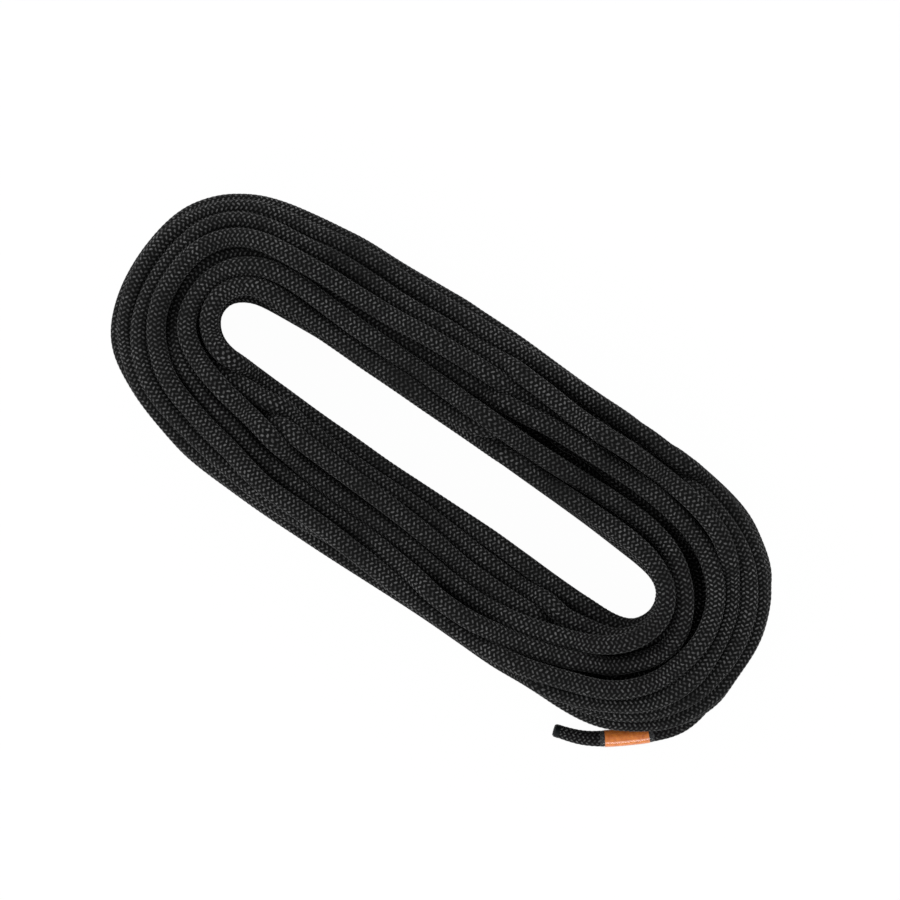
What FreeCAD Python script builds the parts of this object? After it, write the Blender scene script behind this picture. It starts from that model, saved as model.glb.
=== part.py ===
# Climbing rope, laid flat as a long hank of turns with one free end.
# Millimetres, +Z up. The hank lies along X and stands on Z = 0.
import FreeCAD, Part
import math
import os
from FreeCAD import Vector

# Driving dimensions of the rope
rope_diameter = 9.5
cord_sides = 6
flat_share = 0.1

# Driving dimensions of the hank
lanes_across = 6
turns_high = 5
turn_gap = 0.5
hole_width = 28.0
run_length = 216.0

# The free end's route: corners round the middle of the hank's right end,
# as (degrees, rope diameters outside the outer lane), from the hank to the tip
route_corners = [
    (74.0, 0.29),
    (44.0, 0.29),
    (14.2, 0.265),
    (-8.6, 0.315),
    (-25.5, 0.74),
    (-40.5, 0.95),
    (-65.3, 1.16),
    (-77.2, 1.3),
]
first_run = 30.0
corner_share = 0.45

# Driving dimensions of the finished end
end_diameter = 8.5
end_sides = 8
sheath_wall = 1.0
tip_length = 7.0
tip_taper = 1.05
tip_bevel = 0.9
inner_strands = 3
outer_strands = 9
strand_sides = 4
strand_gap = 0.05
tape_width = 1.2
tape_thickness = 0.25
bare_behind = 4.0
label_length = 22.0
label_thickness = 0.15
sleeve_overhang = 2.5
sleeve_thickness = 0.3
wrap_gap = 0.05
bare_ahead = 14.5

# Worked out from the values above
rope_radius = rope_diameter / 2
cord_section = cord_sides / 2 * rope_radius ** 2 * math.sin(2 * math.pi / cord_sides)
turn_step = rope_diameter + turn_gap
half_run = run_length / 2
inner_lane = hole_width / 2 + rope_radius
outer_lane = inner_lane + (lanes_across - 1) * turn_step
floor_axis = rope_radius - flat_share * rope_diameter
top_level = turns_high - 1
end_radius = end_diameter / 2
flat_of_corner = math.cos(math.pi / end_sides)
core_bore_radius = end_radius - sheath_wall
inner_ring_share = 1 / (2 * math.sin(math.pi / inner_strands))
strand_room = core_bore_radius * flat_of_corner - (2 + inner_ring_share) * strand_gap
strand_diameter = strand_room / (1.5 + inner_ring_share)
label_bore = end_radius + wrap_gap
label_radius = label_bore + label_thickness
sleeve_bore = label_radius + wrap_gap
sleeve_radius = sleeve_bore + sleeve_thickness
free_axis = sleeve_radius * flat_of_corner
tolerance = 1e-6


def level_height(level):
    """Height of the rope's centre line on a level of the pile; level 0 lies on the floor."""
    return floor_axis + level * turn_step


def polygon_corners(centre, left, radius, sides):
    """A flat-bottomed polygon square to a level cord, with its corners on the cord's circle."""
    corners = []
    for k in range(sides):
        angle = math.pi / 2 + math.pi / sides + 2 * math.pi * k / sides
        corners.append(centre + left * (radius * math.cos(angle)) + Vector(0, 0, radius * math.sin(angle)))
    return corners


def closed_wire(corners):
    return Part.makePolygon(corners + [corners[0]])


def sweep(path, section):
    """A solid made by a section that follows a path."""
    shell = Part.BRepOffsetAPI.MakePipeShell(path)
    shell.add(section, False, False)
    shell.build()
    shell.makeSolid()
    return shell.shape()


def cut_at_floor(solid):
    """The cord pressed flat where it lies on the floor."""
    box = solid.BoundBox
    if box.ZMin > -tolerance:
        return solid
    margin = rope_diameter
    below = Part.makeBox(box.XLength + 2 * margin, box.YLength + 2 * margin, margin,
                         Vector(box.XMin - margin, box.YMin - margin, -margin))
    return solid.cut(below).Solids[0]


# The hank's turns. Each turn is an upper run towards -X, a half turn on the left,
# a lower run towards +X and a half turn on the right.

def hank_runs():
    """Every straight run in order, as (side, lane, level at its start, level at its end)."""
    runs = []
    for level in range(top_level):
        runs.append((1, outer_lane, level, level))
        runs.append((-1, outer_lane, level, level + 1))
    for k in range(lanes_across - 1):
        lane = outer_lane - k * turn_step
        runs.append((1, lane, top_level, top_level))
        runs.append((-1, lane - turn_step, top_level, top_level))
    for level in range(top_level, 0, -1):
        runs.append((1, inner_lane, level, level - 1))
        runs.append((-1, inner_lane, level - 1, level - 1))
    return runs


def climb_edges(start, end):
    """Two equal arcs, level at both ends, from one height to another."""
    reach = abs(end.x - start.x) / 2
    rise = (end.z - start.z) / 2
    heading = math.copysign(1.0, end.x - start.x)
    middle = (start + end) * 0.5
    half_sweep = math.atan2(abs(rise), reach)
    radius = (reach * reach + rise * rise) / (2 * abs(rise))
    forward = radius * math.sin(half_sweep) * heading
    lift = math.copysign(radius * (1 - math.cos(half_sweep)), rise)
    first = Part.Arc(start, start + Vector(forward, 0, lift), middle)
    second = Part.Arc(middle, end - Vector(forward, 0, lift), end)
    return [first.toShape(), second.toShape()]


def hank_path():
    """The centre line of the turns that show, from the free end's joint to the hidden end."""
    runs = hank_runs()
    edges = []
    for k, (side, lane, first_level, last_level) in enumerate(runs):
        start = Vector(half_run * side, side * lane, level_height(first_level))
        end = Vector(-half_run * side, side * lane, level_height(last_level))
        if k == 0:
            start = joint_point()
        if first_level == last_level:
            edges.append(Part.LineSegment(start, end).toShape())
        else:
            edges.extend(climb_edges(start, end))
        if k + 1 < len(runs):
            arrive = Vector(end.x, -side * runs[k + 1][1], end.z)
        else:
            arrive = Vector(end.x, -side * lane, end.z)
        reach = (arrive - end).Length / 2
        crown = (end + arrive) * 0.5 + Vector(-side * reach, 0, 0)
        edges.append(Part.Arc(end, crown, arrive).toShape())
    hidden_end = arrive + Vector(-rope_diameter, 0, 0)
    edges.append(Part.LineSegment(arrive, hidden_end).toShape())
    return Part.Wire(edges), hidden_end


def corner_radius(outside):
    """A route corner's distance from the middle of the hank's right end."""
    return outer_lane + outside * rope_diameter


def joint_point():
    """Where the lowest outer turn becomes the free end."""
    degrees, outside = route_corners[0]
    corner_x = half_run + corner_radius(outside) * math.cos(math.radians(degrees))
    return Vector(corner_x - first_run, outer_lane, floor_axis)


def least_self_gap(path, spacing=1.0):
    """The least clear space between two turns, measured on points of the centre line."""
    points = []
    for edge in path.Edges:
        count = max(2, int(round(edge.Length / spacing)))
        span = edge.LastParameter - edge.FirstParameter
        values = [edge.valueAt(edge.FirstParameter + span * k / count) for k in range(count)]
        if points and (values[0] - points[-1]).Length > 2 * spacing:
            values = [edge.valueAt(edge.LastParameter - span * k / count) for k in range(count)]
        points.extend(values)
    cell = 1.5 * rope_diameter
    grid = {}
    for k, p in enumerate(points):
        key = (int(p.x // cell), int(p.y // cell), int(p.z // cell))
        grid.setdefault(key, []).append(k)
    apart = int(3 * rope_diameter / spacing)
    steps = (-1, 0, 1)
    around = [(i, j, n) for i in steps for j in steps for n in steps]
    least = cell
    for (i, j, n), members in grid.items():
        near = [m for di, dj, dn in around for m in grid.get((i + di, j + dj, n + dn), ())]
        for k in members:
            for m in near:
                if m - k > apart:
                    least = min(least, (points[k] - points[m]).Length)
    return least - rope_diameter


def make_hank_turns():
    """The turns on the outside of the pile, one unbroken tube."""
    path, hidden_end = hank_path()
    section = polygon_corners(joint_point(), Vector(0, 1, 0), rope_radius, cord_sides)
    turns = sweep(path, closed_wire(section))
    print("hank turns: length %.1f mm, volume %.0f, section x length %.0f, least gap %.2f mm" % (
        path.Length, turns.Volume, cord_section * path.Length, least_self_gap(path)))
    return cut_at_floor(turns), hidden_end


def racetrack_face(lane):
    """The flat shape inside a line that runs at one distance from the hank's long axis."""
    right = Part.Arc(Vector(half_run, -lane, 0), Vector(half_run + lane, 0, 0), Vector(half_run, lane, 0))
    left = Part.Arc(Vector(-half_run, lane, 0), Vector(-half_run - lane, 0, 0), Vector(-half_run, -lane, 0))
    upper = Part.LineSegment(Vector(half_run, lane, 0), Vector(-half_run, lane, 0))
    lower = Part.LineSegment(Vector(-half_run, -lane, 0), Vector(half_run, -lane, 0))
    return Part.Face(Part.Wire([right.toShape(), upper.toShape(), left.toShape(), lower.toShape()]))


def make_inner_turns():
    """The turns inside the pile, which nothing shows, as one plain ring under the top layer."""
    inner_wall = inner_lane + turn_step - rope_radius
    outer_wall = outer_lane - turn_step + rope_radius
    height = level_height(top_level) - rope_radius - turn_gap
    ring = racetrack_face(outer_wall).cut(racetrack_face(inner_wall))
    return ring.extrude(Vector(0, 0, height)).Solids[0]


# The free end. Its route is a chain of pieces (x, y, heading, length, bend),
# where bend is 0 on a straight run and one over the radius on an arc.

def route_points():
    points = [(joint_point().x, outer_lane)]
    for degrees, outside in route_corners:
        angle = math.radians(degrees)
        radius = corner_radius(outside)
        points.append((half_run + radius * math.cos(angle), radius * math.sin(angle)))
    points[1] = (points[1][0], outer_lane)
    return points


def along(piece, distance):
    """The place and heading at a distance from a piece's start."""
    x, y, heading, length, bend = piece
    if bend == 0:
        return x + distance * math.cos(heading), y + distance * math.sin(heading), heading
    turned = heading + bend * distance
    x_there = x + (math.sin(turned) - math.sin(heading)) / bend
    y_there = y - (math.cos(turned) - math.cos(heading)) / bend
    return x_there, y_there, turned


def rounded_route():
    """Straight runs joined by arcs as large as the runs allow."""
    points = route_points()
    lengths = [math.dist(points[k], points[k + 1]) for k in range(len(points) - 1)]
    headings = []
    for (x0, y0), (x1, y1) in zip(points, points[1:]):
        headings.append(math.atan2(y1 - y0, x1 - x0))
    pieces = []
    radii = []
    trimmed = 0.0
    for k, length in enumerate(lengths):
        x0, y0 = points[k]
        x = x0 + trimmed * math.cos(headings[k])
        y = y0 + trimmed * math.sin(headings[k])
        last = k == len(lengths) - 1
        next_trim = 0.0 if last else corner_share * min(length, lengths[k + 1])
        straight = (x, y, headings[k], length - trimmed - next_trim, 0.0)
        pieces.append(straight)
        if not last:
            turn = headings[k + 1] - headings[k]
            radius = next_trim / math.tan(abs(turn) / 2)
            radii.append(radius)
            arc_x, arc_y, heading = along(straight, straight[3])
            pieces.append((arc_x, arc_y, heading, radius * abs(turn), math.copysign(1 / radius, turn)))
        trimmed = next_trim
    print("free end: runs", [round(v, 1) for v in lengths], "arc radii", [round(v, 1) for v in radii])
    return pieces


def stretch_path(pieces, start, end, shift_left=0.0, shift_up=0.0):
    """The wire of one stretch of the route, beside its centre line by the shifts."""
    edges = []
    passed = 0.0
    for piece in pieces:
        length, bend = piece[3], piece[4]
        low = max(start - passed, 0.0)
        high = min(end - passed, length)
        passed += length
        if high - low < tolerance:
            continue
        marks = []
        for distance in (low, (low + high) / 2, high):
            x, y, heading = along(piece, distance)
            left = Vector(-math.sin(heading), math.cos(heading), 0)
            marks.append(Vector(x, y, free_axis + shift_up) + left * shift_left)
        if bend == 0:
            edges.append(Part.LineSegment(marks[0], marks[2]).toShape())
        else:
            edges.append(Part.Arc(*marks).toShape())
    return Part.Wire(edges)


def place_on_route(pieces, distance):
    """The centre, the forward and the leftward direction at a distance along the route."""
    passed = 0.0
    for piece in pieces:
        if distance <= passed + piece[3] + tolerance:
            x, y, heading = along(piece, distance - passed)
            forward = Vector(math.cos(heading), math.sin(heading), 0)
            left = Vector(-math.sin(heading), math.cos(heading), 0)
            return Vector(x, y, free_axis), forward, left
        passed += piece[3]


def rod(pieces, start, end, radius, sides, shift_left=0.0, shift_up=0.0):
    """A faceted rod along one stretch of the route."""
    centre, forward, left = place_on_route(pieces, start)
    centre = centre + left * shift_left + Vector(0, 0, shift_up)
    path = stretch_path(pieces, start, end, shift_left, shift_up)
    return sweep(path, closed_wire(polygon_corners(centre, left, radius, sides)))


def tube(pieces, start, end, outer_radius, bore_radius):
    """A rod of the finished end with a bore right through."""
    bore = rod(pieces, start, end, bore_radius, end_sides)
    return rod(pieces, start, end, outer_radius, end_sides).cut(bore)


def make_free_run(pieces, end):
    """The rope from the hank to where its end was drawn thin; it rises in its first straight run."""
    start = joint_point()
    straight = pieces[0][3]
    risen = Vector(start.x + straight, start.y, free_axis)
    path = Part.Wire(climb_edges(start, risen) + stretch_path(pieces, straight, end).Edges)
    section = polygon_corners(start, Vector(0, 1, 0), rope_radius, cord_sides)
    run = sweep(path, closed_wire(section))
    print("free run: length %.1f mm, volume %.0f, section x length %.0f" % (
        path.Length, run.Volume, cord_section * path.Length))
    return cut_at_floor(run)


def strand_places():
    """Where the core's strands and the marker tape lie in the bore, as (left, up)."""
    inner_ring = inner_ring_share * (strand_diameter + strand_gap)
    outer_ring = inner_ring + strand_diameter + strand_gap
    rings = []
    for count, radius in ((inner_strands, inner_ring), (outer_strands, outer_ring)):
        for k in range(count):
            angle = math.pi / 2 + 2 * math.pi * k / count
            rings.append((radius * math.cos(angle), radius * math.sin(angle)))
    tape_place = rings.pop(inner_strands)
    return rings, tape_place


def make_tape(pieces, start, end, place):
    """The marker tape, a thin flat strip that lies in one strand's place."""
    shift_left, shift_up = place
    centre, forward, left = place_on_route(pieces, start)
    centre = centre + left * shift_left + Vector(0, 0, shift_up)
    corners = []
    for u, v in ((-1, -1), (1, -1), (1, 1), (-1, 1)):
        corners.append(centre + left * (u * tape_width / 2) + Vector(0, 0, v * tape_thickness / 2))
    path = stretch_path(pieces, start, end, shift_left, shift_up)
    return sweep(path, closed_wire(corners))


def make_sleeve(pieces, start, end):
    """The clear shrink tube: wide over the label, drawn down on the rope past both its ends."""
    neck_bore = end_radius + wrap_gap
    neck_radius = neck_bore + sleeve_thickness
    body = tube(pieces, start - wrap_gap, end + wrap_gap, sleeve_radius, sleeve_bore)
    rear = tube(pieces, start - sleeve_overhang, start - wrap_gap, neck_radius, neck_bore)
    front = tube(pieces, end + wrap_gap, end + sleeve_overhang, neck_radius, neck_bore)
    return body.fuse(rear).fuse(front).Solids[0]


def make_tip(base, forward, left):
    """The cut end, melted into a blunt nose."""
    shoulder = end_radius - tip_taper
    stations = [
        (0.0, end_radius),
        (tip_length - tip_bevel, shoulder),
        (tip_length, shoulder - tip_bevel),
    ]
    rings = [polygon_corners(base + forward * ahead, left, radius, end_sides) for ahead, radius in stations]
    faces = [Part.Face(closed_wire(rings[0])), Part.Face(closed_wire(rings[-1]))]
    for near, far in zip(rings, rings[1:]):
        for k in range(end_sides):
            faces.append(Part.Face(closed_wire([near[k - 1], near[k], far[k], far[k - 1]])))
    return Part.Solid(Part.Shell(faces))


def make_free_end():
    """Every piece of the free end, by name."""
    pieces = rounded_route()
    total = sum(piece[3] for piece in pieces)
    tip_start = total - tip_length
    label_end = tip_start - bare_ahead - sleeve_overhang
    label_start = label_end - label_length
    finished_start = label_start - sleeve_overhang - bare_behind
    parts = {"free_end_run": make_free_run(pieces, finished_start)}
    parts["end_sheath"] = tube(pieces, finished_start, tip_start, end_radius, core_bore_radius)
    strands, tape_place = strand_places()
    for k, place in enumerate(strands):
        strand = rod(pieces, finished_start, tip_start, strand_diameter / 2, strand_sides, *place)
        parts["core_strand_%02d" % (k + 1)] = strand
    parts["marker_tape"] = make_tape(pieces, finished_start, tip_start, tape_place)
    parts["end_label"] = tube(pieces, label_start, label_end, label_radius, label_bore)
    parts["shrink_sleeve"] = make_sleeve(pieces, label_start, label_end)
    parts["free_end_tip"] = make_tip(*place_on_route(pieces, tip_start))
    print("free end: whole length %.1f mm, finished end %.1f mm, strands %.2f mm thick" % (
        total, total - finished_start, strand_diameter))
    return parts


def build():
    """All the rope's pieces, set so that the middle of the footprint is the origin."""
    turns, hidden_end = make_hank_turns()
    parts = {"hank_turns": turns, "hank_inner_turns": make_inner_turns()}
    parts["hidden_end_tip"] = cut_at_floor(make_tip(hidden_end, Vector(-1, 0, 0), Vector(0, 1, 0)))
    parts.update(make_free_end())
    box = FreeCAD.BoundBox()
    for shape in parts.values():
        box.add(shape.BoundBox)
    shift = Vector(-box.Center.x, -box.Center.y, 0)
    for shape in parts.values():
        shape.translate(shift)
    print("shift to the middle of the footprint:", round(shift.x, 3), round(shift.y, 3))
    print("size %.1f x %.1f x %.1f mm" % (box.XLength, box.YLength, box.ZLength))
    return parts


os.makedirs("parts", exist_ok=True)
for name, shape in build().items():
    shape.exportStep("parts/%s.step" % name)
    print(name, "valid", shape.isValid(), "solids", len(shape.Solids), "volume %.1f" % shape.Volume)
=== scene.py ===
# %% [markdown]
# # A climbing rope, laid in a long hank
#
# The real object is one dynamic rope: a braided sheath round a core of twisted strands. It is
# laid turn on turn into a long hank, and one end comes out with a label under a clear sleeve.
# The script follows the rope from end to end: first the way it lies, then its braid, then the
# finished end, and at last the table it lies on and the light.

# %% Load the frame
import bpy
import math
import numpy as np
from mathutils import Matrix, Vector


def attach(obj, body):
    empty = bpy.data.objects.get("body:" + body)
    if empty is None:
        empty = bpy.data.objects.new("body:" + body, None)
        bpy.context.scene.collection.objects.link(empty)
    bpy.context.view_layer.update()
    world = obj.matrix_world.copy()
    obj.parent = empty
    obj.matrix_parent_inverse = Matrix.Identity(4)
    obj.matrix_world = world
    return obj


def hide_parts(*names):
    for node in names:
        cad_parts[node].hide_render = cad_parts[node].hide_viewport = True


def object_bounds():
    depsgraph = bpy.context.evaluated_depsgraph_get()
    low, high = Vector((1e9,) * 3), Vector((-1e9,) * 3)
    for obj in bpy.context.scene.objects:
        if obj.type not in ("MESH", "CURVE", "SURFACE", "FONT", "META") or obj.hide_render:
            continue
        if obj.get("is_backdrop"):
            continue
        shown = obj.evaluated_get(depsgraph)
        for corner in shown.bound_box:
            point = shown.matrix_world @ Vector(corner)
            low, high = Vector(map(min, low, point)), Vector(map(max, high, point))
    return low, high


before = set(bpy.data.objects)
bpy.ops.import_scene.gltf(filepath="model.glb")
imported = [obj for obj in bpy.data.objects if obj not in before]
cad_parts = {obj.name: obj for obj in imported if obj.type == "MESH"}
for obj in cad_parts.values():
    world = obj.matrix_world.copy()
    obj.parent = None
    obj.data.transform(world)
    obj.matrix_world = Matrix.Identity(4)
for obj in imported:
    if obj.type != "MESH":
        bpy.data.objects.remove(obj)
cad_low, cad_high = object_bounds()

MM = 0.001


def in_mm(low, high):
    return [round(v / MM, 1) for v in (*low, *high)]


print("nodes", len(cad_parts), "and their box in mm", in_mm(cad_low, cad_high))

# %% [markdown]
# ## The camera
#
# The picture looks straight down. The hank slopes in it, so the camera is turned about the
# upright axis and not the hank. A long lens from far above keeps the perspective mild: the top
# of the pile is only a few percent larger than its foot.

# %% Camera: lengths in millimetres, the focal length in picture pixels
PICTURE = 900
SENSOR = 36.0
CAMERA_HEIGHT = 1200.0
FOCAL = 2392.0
CAMERA_TURN = 34.8
# the middle of the hank in the frame, and the camera's place from there
HANK_SHIFT = (-0.886, 3.972)
CAMERA_OVER = (0.2, 5.6)

camera_data = bpy.data.cameras.new("camera")
camera_data.sensor_width = SENSOR
camera_data.lens = FOCAL / PICTURE * SENSOR
camera = bpy.data.objects.new("camera", camera_data)
bpy.context.collection.objects.link(camera)
camera_spot = [CAMERA_OVER[k] + HANK_SHIFT[k] for k in (0, 1)]
camera.location = [v * MM for v in (*camera_spot, CAMERA_HEIGHT)]
camera.rotation_euler = (0, 0, math.radians(CAMERA_TURN))
bpy.context.scene.camera = camera
print("lens %.1f mm, %.2f m above the table" % (camera_data.lens, CAMERA_HEIGHT * MM))

# %% [markdown]
# ## The way the rope lies
#
# A rope has one centre line, so the hank is one list of points. The turns on top were read from
# the levelled picture, station by station: how far along, how far across, and a height judged
# from what covers what. One turn goes back along the lower side, round the left end, forth along
# the upper side and round the right end.

# %% Turns on top, as (along, across, height): picture pixels and millimetres
TOP_TURNS = [
    # the innermost turn, bright beside the hole on the upper left
    [(690, 492, 23), (665, 496, 27), (640, 498, 31), (620, 499, 33), (580, 498.5, 35),
     (540, 497, 35), (500, 497, 34), (460, 498, 33), (420, 498.5, 31), (380, 499, 30),
     (340, 499, 30), (300, 498.5, 30), (260, 498, 32), (220, 498, 36), (196, 496.5, 40),
     (179, 488, 41), (168, 474, 42), (165, 458, 42), (168, 443, 42), (178, 430, 42),
     (196, 421.5, 42), (222, 418, 42), (260, 418, 42), (300, 418.5, 42), (340, 418.5, 41),
     (380, 418, 40), (420, 415.5, 37), (460, 412.5, 34), (500, 409.5, 31), (540, 407.5, 29),
     (580, 406, 28), (620, 406, 28), (660, 409, 28), (690, 422, 28), (710, 443, 28),
     (718, 468, 28), (711, 494, 28), (695, 514, 27)],
    # the one that rises beside it on the lower side and dives at the left end
    [(670, 526, 26), (640, 532, 28), (610, 535, 31), (580, 536, 34), (550, 536, 36),
     (520, 535.5, 37), (480, 531, 39), (440, 528, 40), (400, 526.5, 41), (360, 525.5, 42),
     (320, 524, 42), (285, 522.5, 40), (255, 520, 35), (225, 516, 30), (190, 508, 26),
     (168, 496, 25), (155, 478, 25), (151, 458, 25), (156, 437, 25), (170, 418, 25),
     (192, 405, 25), (230, 400, 26), (280, 403, 26), (340, 405, 27), (400, 407, 27),
     (460, 409, 27), (520, 413, 27), (580, 418, 26), (640, 420, 26), (680, 428, 27),
     (702, 445, 29), (708, 465, 29), (702, 485, 29), (688, 502, 28)],
    # the one that lies low along the hole and comes up at the right end
    [(670, 511, 29), (640, 518, 32), (600, 519.5, 34), (560, 518, 36), (520, 517, 36),
     (480, 514.5, 36), (440, 513, 36), (400, 514, 36), (360, 513.5, 36), (320, 512, 36),
     (280, 511.5, 36), (240, 511.5, 35), (205, 508.5, 32), (182, 499, 29), (168, 484, 28),
     (162, 463, 28), (166, 441, 28), (180, 428, 28), (204, 424, 28), (240, 422.5, 30),
     (280, 420.5, 30), (320, 420, 31), (360, 420, 32), (400, 419.5, 34), (440, 419.5, 35),
     (480, 419.5, 36), (520, 419, 37), (560, 418.5, 37), (600, 417.5, 38), (640, 418, 38),
     (670, 423, 38), (692, 435, 38), (706, 452, 38), (709, 472, 39), (702, 494, 40),
     (688, 512, 41)],
    # the second from the hole at the left end, third on the upper side
    [(664, 528, 42), (640, 537, 42), (610, 546, 42), (580, 553, 42), (550, 556, 42),
     (520, 555.5, 42), (490, 553, 42), (460, 549, 42), (430, 547, 42), (400, 546.5, 42),
     (360, 546, 42), (330, 544.5, 42), (300, 540, 42), (270, 535, 42), (240, 530, 42),
     (210, 524, 42), (186, 517, 42), (166, 507, 42), (153, 493, 42), (147, 475, 42),
     (146, 456, 42), (151, 436, 42), (163, 418, 42), (182, 405, 42), (208, 398.5, 42),
     (240, 397.5, 42), (280, 399, 42), (320, 399, 42), (360, 399, 42), (400, 399, 42),
     (440, 399.5, 42), (480, 400, 42), (520, 399.5, 42), (560, 397.5, 42), (600, 395.5, 42),
     (640, 395.5, 41), (664, 399, 40), (686, 407, 39), (706, 421, 39), (722, 440, 39),
     (732, 460, 39), (735, 480, 40), (728, 501, 41), (714, 518, 42)],
    # the one that hides under its neighbours at the left end
    [(698, 533, 42), (680, 541, 42), (655, 552, 42), (630, 560.5, 42), (600, 568, 42),
     (570, 573.5, 42), (540, 575.5, 42), (510, 574.5, 42), (480, 571.5, 42), (450, 568, 42),
     (420, 566, 42), (380, 565.5, 42), (340, 565, 42), (310, 563, 42), (280, 558, 42),
     (250, 551.5, 42), (220, 545, 42), (195, 538, 41), (172, 528, 39), (155, 514, 36),
     (142, 496, 33), (136, 475, 31), (134, 455, 30), (138, 434, 30), (149, 414, 30),
     (168, 398, 30), (195, 388, 31), (230, 384, 32), (265, 384, 33), (300, 384.5, 35),
     (330, 384, 37), (360, 382, 39), (400, 380, 41), (440, 378, 42), (480, 375, 42),
     (510, 370.5, 42), (540, 368.5, 42), (580, 366.5, 42), (620, 366, 42), (655, 368.5, 42),
     (685, 374, 42), (710, 384, 42), (732, 400, 42), (747, 420, 42), (755, 441, 42),
     (757.5, 463, 42), (755, 489, 42), (747, 513, 42), (735, 531, 42), (718, 547, 42)],
    # the widest turn that stays on top nearly all the way
    [(700, 558, 42), (675, 567, 42), (645, 577, 42), (615, 584.5, 42), (585, 588.5, 42),
     (555, 589.5, 42), (520, 589, 42), (485, 587.5, 42), (450, 586, 42), (415, 584, 42),
     (380, 582.5, 42), (345, 582, 42), (315, 582, 42), (290, 578.5, 42), (260, 572, 42),
     (230, 567, 42), (205, 561, 42), (180, 554, 42), (160, 544, 42), (143, 530, 42),
     (129, 512, 42), (120, 490, 42), (117, 465, 42), (118, 441, 42), (124, 420, 42),
     (136, 402, 42), (154, 389, 42), (180, 381, 42), (210, 378, 42), (240, 375, 42),
     (280, 373, 42), (320, 370.5, 42), (360, 366, 42), (400, 363.5, 42), (440, 361.5, 41),
     (470, 360, 39), (500, 358.5, 35), (530, 356, 31), (560, 352, 30), (590, 346, 30),
     (620, 340, 31), (650, 338.5, 33), (680, 342, 34), (708, 350, 34), (735, 363.5, 33),
     (757, 384, 32), (772.5, 409, 31), (780.5, 436, 30), (783.5, 462, 30), (781.5, 489, 30),
     (775, 512, 30), (762, 534, 30), (745, 553, 31), (723, 568, 32)],
    # three turns down the slope to the rim
    [(698, 577, 32), (670, 579, 32), (640, 579, 32), (600, 579, 32), (550, 579, 32),
     (500, 579, 32), (450, 581, 31), (400, 584, 31), (360, 588, 32), (325, 590, 33),
     (300, 589.5, 34), (275, 587, 35), (250, 584.5, 36), (225, 580.5, 36), (200, 575.5, 36),
     (175, 569, 36), (152, 558.5, 36), (134, 543, 36), (119, 523, 36), (109, 500, 36),
     (104.5, 475, 36), (104.5, 450, 36), (108.5, 425, 36), (117, 403, 36), (131, 385, 36),
     (151, 373, 36), (178, 366, 36), (205, 363, 37), (240, 356.5, 37), (280, 354.5, 37),
     (320, 354, 37), (360, 351, 37), (400, 348, 38), (440, 345.5, 39), (480, 344.5, 41),
     (520, 347, 42), (560, 347, 42), (600, 345.5, 42), (640, 347, 41), (670, 350.5, 40),
     (700, 358, 39), (725, 371, 38), (746, 391, 37), (762, 415, 37), (770.5, 440, 37),
     (773.5, 465, 37), (771.5, 492, 37), (764, 517, 38), (751, 538, 39), (733, 554, 40),
     (712, 567, 40)],
    [(690, 576.5, 40), (665, 584, 36), (640, 589, 30), (610, 591, 26), (575, 591.5, 24),
     (530, 591, 24), (480, 591, 25), (440, 592.5, 28), (400, 594.5, 30), (360, 595.5, 31),
     (320, 596, 31), (280, 595, 30), (240, 592.5, 30), (205, 588.5, 30), (178, 581, 30),
     (151, 569.5, 30), (127, 553, 30), (108, 532, 30), (96, 507, 30), (90.5, 480, 30),
     (89.5, 450, 30), (93.5, 422, 30), (104, 397, 31), (121, 376, 32), (143, 361, 33),
     (170, 352, 34), (200, 347.5, 35), (235, 340, 36), (270, 335.5, 36), (310, 334.5, 37),
     (350, 332, 37), (400, 329, 38), (450, 326.5, 39), (500, 324.5, 39), (550, 324, 38),
     (600, 324.5, 37), (640, 326, 34), (672, 329.5, 31), (704, 336.5, 28), (734, 349.5, 26),
     (760, 368, 25), (780, 393, 24), (792, 420, 23), (797, 448, 23), (797.5, 475, 23),
     (793.5, 503, 23), (783.5, 529, 23), (768, 551, 23), (745, 570, 23)],
    [(715, 582, 24), (680, 587, 24), (640, 588, 21), (590, 590, 18), (540, 590.5, 16),
     (480, 592, 17), (420, 593, 20), (360, 595.5, 22), (300, 596, 22), (250, 594.5, 21),
     (215, 591, 21), (180, 583, 21), (150, 571, 21), (122, 554, 21), (101, 533, 21),
     (89, 508, 21), (84.5, 480, 21), (84.5, 450, 21), (89, 422, 21), (100, 396, 22),
     (117, 374, 23), (140, 356, 24), (170, 345, 25), (200, 339.5, 26), (240, 334, 27),
     (280, 331, 27), (320, 328, 28), (360, 325, 28), (400, 322.5, 29), (440, 322, 29),
     (480, 323, 28), (520, 324, 26), (560, 325, 24), (600, 325, 22), (640, 326, 20),
     (675, 329, 18), (708, 338, 16), (738, 352, 15), (764, 372, 15), (783, 397, 14),
     (793, 425, 14), (797, 455, 14), (797, 480, 14), (792, 507, 14), (781, 532, 14),
     (763, 554, 14), (742, 570, 14)],
]
print("turns on top:", len(TOP_TURNS))

# %% [markdown]
# Under them the picture shows only where the pile begins and ends: the edge of the hole and the
# outer rim. The hidden turns fill that band in layers, wound to and fro across it, and each
# layer lies in the valleys of the one below, as rope does that is laid by hand.

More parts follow.
